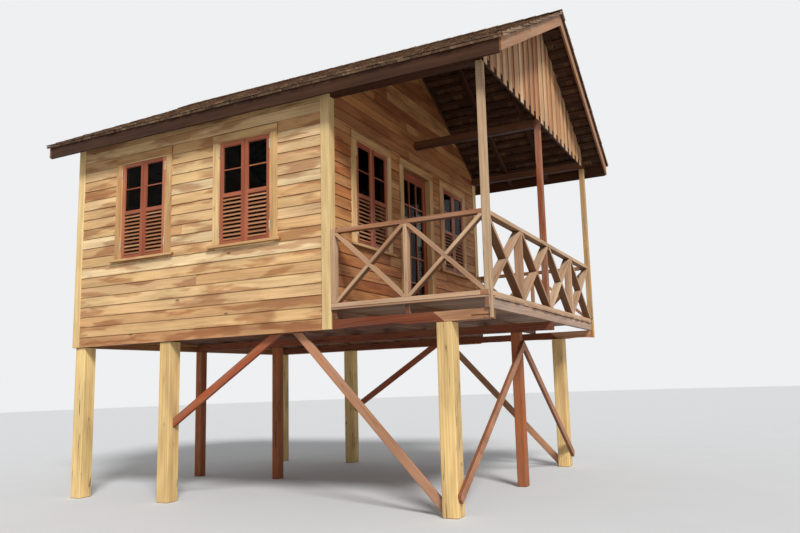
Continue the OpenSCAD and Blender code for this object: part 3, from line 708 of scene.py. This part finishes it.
nails = bmesh.new()
for name, place, half, foot, top, openings, wood in walls:
    nail_siding(nails, place, half, foot, top, openings)
for i in range(deck_count):
    for y in (-2.7, -1.92, -1.12):
        for out in (-0.045, 0.045):
            x = deck_low.x + (i + 0.5) * deck_pitch + out + nail_rand.uniform(-0.005, 0.005)
            if abs(x) < 1.98:
                at = (x, y + nail_rand.uniform(-0.008, 0.008), deck_high.z)
                nail(nails, Matrix.Translation(at))
fix_metal("nail_heads", nails, steel("rusty_nails", 0.4))


# Window casings: side boards under a head board, over a sill with horns; jamb linings inside.
# They are nailed over the siding's ends, planed and left yellowish.

casing_wood = timber("casing_wood", [(216, 176, 122), (200, 154, 102), (226, 192, 140)],
                     streaks=0.45, heart=0.45, knots=0.3, cracks=0.15)
trim_t, casing_w, lining_t, wall_t = 0.03, 0.09, 0.015, 0.08
win_w, win_h, sill_t, sill_horn, sill_nose = 0.745, 1.22, 0.03, 0.05, 0.035
windows = [(on_side(side, y), side_sill) for y in (0.105, 1.675) for side in (-1, 1)]
windows += [(Matrix.Translation((x, wall_y, 0)), front_sill) for x in (-1.18, 1.18)]


def frame_boards(bm, place, half, foot, head):
    """The two side casings, the head casing and the linings of an opening."""
    face = -trim_t + 0.001
    for side in (-1, 1):
        x0, x1 = sorted((side * (half - 0.0005), side * (half + casing_w)))
        squared(bm, (x0, -trim_t, foot), (x1, 0.002, head), place)
        x0, x1 = sorted((side * (half - lining_t), side * half))
        squared(bm, (x0, face, foot), (x1, wall_t, head - lining_t), place)
    out = half + casing_w
    squared(bm, (-out, -trim_t, head + 0.0005), (out, 0.002, head + casing_w), place)
    squared(bm, (-half + 0.0005, face, head - lining_t), (half - 0.0005, wall_t, head - 0.0005),
            place)


casings = bmesh.new()
half = win_w / 2
out = half + casing_w + sill_horn
for place, sill in windows:
    frame_boards(casings, place, half, sill, sill + win_h)
    squared(casings, (-out, -trim_t - sill_nose, sill - sill_t), (out, 0, sill - 0.0005), place)
    squared(casings, (-half, 0, sill - sill_t), (half, wall_t, sill - 0.0005), place)
put_up("casing_boards", casings, casing_wood, ["window_casings"], edge=0.0025)


# Casement sashes, two to a window, flush with the casings: a glazed part over tilted louvres.
# Red-stained joinery: stiles run through, rails between them, slats let into the stiles; beads
# hold the panes, and a strip at the back covers the joint between a pair.

sash_wood = timber("sash_wood", [(172, 98, 68), (154, 80, 54), (190, 116, 84)], streaks=0.45,
                   knots=0.0, cracks=0.05, relief=0.0008, ends=0.3)
slat_wood = timber("slat_wood", [(196, 142, 104), (178, 122, 86), (210, 160, 120)],
                   streaks=0.45, knots=0.0, cracks=0.0, relief=0.0008, ends=0.3)
for finish in (sash_wood, slat_wood):
    finish.node_tree.nodes["Principled BSDF"].inputs["Coat Weight"].default_value = 0.2
stile_w, sash_t, glazed_h, sash_bar, bead = 0.045, 0.036, 0.56, 0.014, 0.007
slat_w, slat_t, slat_count, slat_tilt = 0.047, 0.007, 11, math.radians(46)
sash_back, meeting = 0.006, 0.005
sash_w = (win_w - meeting) / 2 - lining_t
sash_h = win_h - lining_t
z_glass = sash_h - stile_w - glazed_h


def sash(bm, slats, place):
    """One sash, and its slats, with its lower outer corner at the origin."""
    left, right, top = stile_w, sash_w - stile_w, z_glass + glazed_h
    for x in (0, right):
        squared(bm, (x, 0, 0.0005), (x + stile_w, sash_t, sash_h), place)
    for z in (0.0005, z_glass - stile_w, sash_h - stile_w):
        squared(bm, (left, 0.0004, z), (right, sash_t - 0.0004, z + stile_w), place)
    middle = z_glass + glazed_h / 2
    bar_low, bar_high = middle - sash_bar / 2, middle + sash_bar / 2
    squared(bm, (left, sash_t / 4, bar_low), (right, sash_t * 3 / 4, bar_high), place)
    for low, high in ((z_glass, bar_low), (bar_high, top)):
        for x in (left, right - bead):
            squared(bm, (x, 0.01, low), (x + bead, 0.0158, high), place)
    for z in (z_glass, top - bead):
        squared(bm, (left + bead, 0.0104, z), (right - bead, 0.0158, z + bead), place)
    pitch = (z_glass - 2 * stile_w) / slat_count
    for i in range(slat_count):
        at = place @ Matrix.Translation((0, sash_t / 2, stile_w + (i + 0.5) * pitch))
        at = at @ Matrix.Rotation(slat_tilt, 4, "X")
        squared(slats, (left - 0.001, -slat_w / 2, -slat_t / 2),
                (right + 0.001, slat_w / 2, slat_t / 2), at)


sashes, slats = bmesh.new(), bmesh.new()
for place, sill in windows:
    for x in (-sash_w - meeting / 2, meeting / 2):
        sash(sashes, slats, place @ Matrix.Translation((x, sash_back - trim_t, sill)))
    back = sash_back - trim_t + sash_t
    squared(sashes, (-0.014, back, sill + 0.02), (0.014, back + 0.008, sill + sash_h - 0.02),
            place)
put_up("louvred_sashes", sashes, sash_wood, ["window_sashes"], edge=0.0012)
put_up("louvre_slats", slats, slat_wood, edge=0.0012)


# Window hinges: two pale steel butt hinges to a sash, with one leaf screwed to the casing, the
# edge of the other let in at the stile, and a round knuckle with a pin between them.

hinge_half, knuckle_r, pin_r = 0.052, 0.0045, 0.0026
barrel = [(-hinge_half, -0.032, knuckle_r), (-0.031, -0.011, knuckle_r),
          (-0.01, 0.01, knuckle_r), (0.011, 0.031, knuckle_r), (0.032, hinge_half, knuckle_r),
          (-0.056, 0.056, pin_r)]
hinges = bmesh.new()
for place, sill in windows:
    for side in (-1, 1):
        for z in (sill + 0.155, sill + 1.085):
            at = place @ Matrix.Translation((side * (sash_w + meeting / 2), 0, z))
            squared(hinges, (side * 0.001, -0.0322, -hinge_half),
                    (side * 0.015, -0.0298, hinge_half), at)
            squared(hinges, (-side * 0.005, -0.0262, -hinge_half),
                    (-side * 0.001, -0.0238, hinge_half), at)
            for low, high, radius in barrel:
                bmesh.ops.create_cone(
                    hinges, cap_ends=True, segments=10, radius1=radius, radius2=radius,
                    depth=high - low,
                    matrix=at @ Matrix.Translation((0, -0.0315, (low + high) / 2)))
            for up in (-0.038, 0, 0.038):
                nail(hinges, at @ outward(side * 0.0095, -0.0324, up), 0.003)
bmesh.ops.recalc_face_normals(hinges, faces=hinges.faces)
window_steel = steel("plain_steel", 0.06)
fix_metal("window_hinges", hinges, window_steel)


# Window and door glass: thin clear panes held in the sashes and the leaf, a little wavy and
# dusty.

glass, tree, shell = blank_finish("window_pane")
shell.inputs["Base Color"].default_value = (0.24, 0.26, 0.24, 1)
shell.inputs["Transmission Weight"].default_value = 1
shell.inputs["IOR"].default_value = 1.1
ripple = mottle(tree, 4.0, 2.0)
film = step(tree, "MapRange", {"Value": ripple, "From Min": 0.4, "From Max": 0.8,
                               "To Min": 0.02, "To Max": 0.14})
tree.links.new(film[0], shell.inputs["Roughness"])
wave = step(tree, "Bump", {"Height": ripple, "Strength": 0.3, "Distance": 0.002})
tree.links.new(wave[0], shell.inputs["Normal"])
refinish(("window_glass", "door_glass"), glass)


# Door casing, and the door: a red-stained leaf with three panes across and five up, on its left
# side hung on steel hinges.

door_half = 0.3995
surround = bmesh.new()
frame_boards(surround, on_front, door_half, floor_z, 4.044)
squared(surround, (-door_half + lining_t, -1.045, floor_z + 0.0005),
        (door_half - lining_t, -0.935, 2.072))
put_up("door_surround", surround, casing_wood, ["door_casing"], edge=0.0025)

door_stile, top_rail, bottom_rail, leaf_bar = 0.085, 0.11, 0.145, 0.02
panes_across, panes_up = 3, 5
leaf = bmesh.new()
low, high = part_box("door_leaf")
x0, x1 = low.x + door_stile, high.x - door_stile
z0, z1 = low.z + bottom_rail, high.z - top_rail
for a, b in ((low.x, x0), (x1, high.x)):
    squared(leaf, (a, low.y, low.z), (b, high.y, high.z))
for a, b in ((low.z, z0), (z1, high.z)):
    squared(leaf, (x0, low.y + 0.0004, a), (x1, high.y - 0.0004, b))
pane_w = (x1 - x0 - (panes_across - 1) * leaf_bar) / panes_across
pane_h = (z1 - z0 - (panes_up - 1) * leaf_bar) / panes_up
for i in range(1, panes_across):
    at = x0 + i * pane_w + (i - 1) * leaf_bar
    squared(leaf, (at, low.y + 0.003, z0), (at + leaf_bar, high.y - 0.003, z1))
for i in range(1, panes_up):
    at = z0 + i * pane_h + (i - 1) * leaf_bar
    squared(leaf, (x0, low.y + 0.005, at), (x1, high.y - 0.005, at + leaf_bar))
put_up("glazed_leaf", leaf, sash_wood, ["door_leaf"], edge=0.0015, body="door")
refinish(("door_hinge_plates", "door_hinge_leaves"), window_steel)


# Porch posts and railing: sawn timber gone pinkish grey in the weather. The corner posts stand
# on the low rail, with tongues that run down over the rim; in each bay one diagonal is whole.

post_wood = timber("post_wood", [(194, 164, 130), (156, 86, 52), (202, 162, 110)], streaks=0.5,
                   knots=0.3, cracks=0.5, age=0.3, old=(184, 164, 142))
put_up("posts_sawn", from_node("porch_posts"), post_wood, ["porch_posts"],
       edge=0.004,
       tones=lambda at, rand: 0.5 if abs(at.x) < 0.5 else (0.0 if at.x < 0 else 1.0))
rail_wood = timber("rail_wood", [(148, 92, 60), (184, 140, 104), (216, 182, 146)],
                   streaks=0.55, knots=0.3, cracks=0.5, age=0.3, old=(190, 168, 148), underside_shade=0.85)
put_up("front_rails_sawn", from_node("front_rails"), rail_wood, ["front_rails"],
       edge=0.003, tones=lambda at, rand: 0.85)
put_up("side_rails_sawn", from_node("side_rails"), rail_wood, ["side_rails"],
       edge=0.003, tones=lambda at, rand: 0.15 if at.z > 2.5 else 0.7)
for name in ("railing_studs", "railing_braces", "railing_half_braces"):
    put_up(name + "_sawn", from_node(name), rail_wood, [name], edge=0.0025,
           tones=lambda at, rand: rand.uniform(0.45, 1.0))


# Roof frame: plates on the walls and posts, a tie beam, rafters to a ridge board, and battens
# across the rafters. Rough sawn and brown, seen from under the porch.

roof_wood = timber("roof_wood", [(112, 72, 48), (96, 60, 40), (128, 86, 60)], streaks=0.6,
                   knots=0.4, cracks=0.4, age=0.1, old=(120, 100, 84), underside_shade=1.0)
for name in ("roof_plates", "tie_beam", "rafters", "ridge_board", "roof_battens"):
    put_up(name + "_sawn", from_node(name), roof_wood, [name], edge=0.003)


# Split shingles, nailed to the battens three thick: courses show 152 mm, butts are worn ragged.
# The ridge is capped with pairs of shingles laid over each other along it, on packers.

shingle_wood = timber("shingle_wood", [(156, 118, 90), (118, 86, 65), (194, 158, 124),
                                       (96, 70, 53), (168, 126, 94)],
                      streaks=0.7, knots=0.0, cracks=0.7, age=0.4, old=(164, 146, 126),
                      relief=0.003, underside_shade=1.0, ends=0.0)
shingle_rand = random.Random("shingles")
course_w, shingle_l, shingle_tip = 0.152, 0.4, 0.006
rafter_h, batten_t = 0.09, 0.02
eave_edge, y_end = 2.355, 3.146
cover_0 = rafter_z(0) + (rafter_h + batten_t) / math.cos(roof_pitch)
slope_l = eave_edge / math.cos(roof_pitch)


def roof_side(side):
    """A placement on one roof side: X along the ridge, Y up the slope from the eave, Z out."""
    foot = Vector((side * eave_edge, 0, cover_0 - eave_edge * math.tan(roof_pitch)))
    up = Vector((-side * math.cos(roof_pitch), 0, math.sin(roof_pitch)))
    out = Vector((side * math.sin(roof_pitch), 0, math.cos(roof_pitch)))
    turn = Matrix((up.cross(out), up, out)).transposed().to_4x4()
    return Matrix.Translation(foot) @ turn


blank = bmesh.new()
squared(blank, (-0.5, 0, 0), (0.5, 1, 1))
wide = [e for e in blank.edges if abs(e.verts[0].co.x - e.verts[1].co.x) > 0.5]
bmesh.ops.subdivide_edges(blank, edges=wide, cuts=2)
blank_shingle = mesh_of("blank_shingle", blank)


def shingle(bm, place, x, y, width, length, butt, rise):
    """A split, tapered shingle with a worn butt, its butt's underside raised by rise."""
    turn = Matrix.Rotation(shingle_rand.uniform(-0.01, 0.01), 4, "Z")
    at = place @ Matrix.Translation((x, y, 0)) @ turn
    worn = [shingle_rand.uniform(0, 0.018) for k in range(4)]
    first = len(bm.verts)
    bm.from_mesh(blank_shingle)
    bm.verts.ensure_lookup_table()
    for vert in bm.verts[first:]:
        across, share, level = vert.co
        thick = butt + (shingle_tip - butt) * share
        slip = worn[round((across + 0.5) * 3)] * (1 - share)
        vert.co = at @ Vector((across * width, share * length + slip,
                               rise * (1 - share) + thick * level))


for side, name in ((-1, "left"), (1, "right")):
    cover = bmesh.new()
    for i in range(-1, math.ceil((slope_l - 0.02) / course_w)):
        starter = i < 0
        foot = max(0.0, i * course_w)
        length = 0.25 if starter else min(shingle_l, slope_l - foot - 0.01)
        x = -y_end
        while x < y_end - 0.02:
            width = min(shingle_rand.uniform(0.075, 0.16), y_end - x)
            rise = 0.0 if starter else 0.026 + shingle_rand.uniform(0, 0.007)
            y = foot + shingle_rand.uniform(0, 0.02)
            gap = shingle_rand.uniform(0.002, 0.008)
            shingle(cover, roof_side(side), x + width / 2, y, width - gap, length,
                    0.024 if starter else 0.015, rise)
            x += width
    put_up(name + "_shingles", cover, shingle_wood, [name + "_roof"], edge=0)
bpy.data.meshes.remove(blank_shingle)


def join(bm, part):
    """Adds one bmesh to another, and frees it."""
    mesh = mesh_of("part", part)
    bm.from_mesh(mesh)
    bpy.data.meshes.remove(mesh)


caps = bmesh.new()
cap_l, cap_count = 0.3, 36
for side in (-1, 1):
    half_caps = bmesh.new()
    ridge = roof_side(side) @ Matrix.Translation((0, slope_l, 0))
    tilt = Matrix(((1, 0, 0, 0), (0, 1, 0, 0), (-side * 0.04, 0, 1, 0.051), (0, 0, 0, 1)))
    for i in range(cap_count):
        y = side * (-y_end + i * (2 * y_end - cap_l) / (cap_count - 1))
        wide = 0.13 + shingle_rand.uniform(0, 0.01)
        squared(half_caps, (-cap_l / 2, -wide, 0), (cap_l / 2, 0.05, 0.009),
                ridge @ Matrix.Translation((y + side * cap_l / 2, 0, 0)) @ tilt)
    for low, high, out in ((0.008, 0.026, 0.115), (0.027, 0.045, 0.1)):
        squared(half_caps, (-y_end, -out, low), (y_end, 0.05, high), ridge)
    saw(half_caps, (0, 0, 0), (-side, 0, 0), drop=True)
    close_cuts(half_caps)
    join(caps, half_caps)
put_up("ridge_shingles", caps, shingle_wood, ["ridge_cap"], edge=0)


# Barge boards up the gables' edges, cut plumb at the peak and the eaves, and fascias along the
# eaves. The barge boards are pinkish tan, the fascias dark brown.

barge_wood = timber("barge_wood", [(190, 146, 112), (176, 128, 94)], streaks=0.45, knots=0.3,
                    cracks=0.4, age=0.35, old=(184, 158, 136))
barges = bmesh.new()
for side in (-1, 1):
    half_barge = from_node("barge_boards")
    saw(half_barge, (side * 0.0008, 0, 0), (-side, 0, 0), drop=True)
    close_cuts(half_barge)
    join(barges, half_barge)
put_up("barge_boards_planed", barges, barge_wood, ["barge_boards"], edge=0.003)
fascia_wood = timber("fascia_wood", [(80, 50, 31), (68, 42, 26)], streaks=0.6, knots=0.2,
                     cracks=0.4)
put_up("eave_fascias_planed", from_node("eave_fascias"), fascia_wood,
       ["eave_fascias"], edge=0.003)


# Gable boards: narrow upright boards over the porch front, long and short by turns, nailed to
# the tie beam and the first rafters with thin joints between them.

gable_wood = timber("gable_wood", [(146, 90, 58), (172, 116, 76), (196, 146, 104),
                                   (214, 172, 128), (224, 190, 150)],
                    streaks=0.5, knots=0.2, cracks=0.4, age=0.2, old=(188, 162, 136))
gable_rand = random.Random("gable")
gable = bmesh.new()
low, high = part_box("gable_infill")
count, joint, board_t, short_by, set_back = 42, 0.003, 0.01, 0.082, 0.009
pitch = (high.x - low.x) / count
rafter_top = rafter_h / math.cos(roof_pitch)
for i in range(count):
    x0 = low.x + i * pitch
    foot = low.z + (short_by if i % 2 else 0) + gable_rand.uniform(0, 0.008)
    top = rafter_z(min(abs(x0), abs(x0 + pitch))) + rafter_top
    face = low.y + (set_back if i % 2 else 0) + gable_rand.uniform(0, 0.001)
    squared(gable, (x0 + joint, face, foot), (x0 + pitch - joint, face + board_t, top))
trim_to_gable(gable, 0.0005 - rafter_top)


def gable_tone(at, rand):
    """The long boards in front are lighter than the short ones set back."""
    long = round((at.x - low.x) / pitch - 0.5) % 2 == 0
    return rand.uniform(0.3, 1.0) if long else rand.uniform(0.0, 0.7)


put_up("gable_boards", gable, gable_wood, ["gable_infill"], edge=0.002,
       tones=gable_tone)
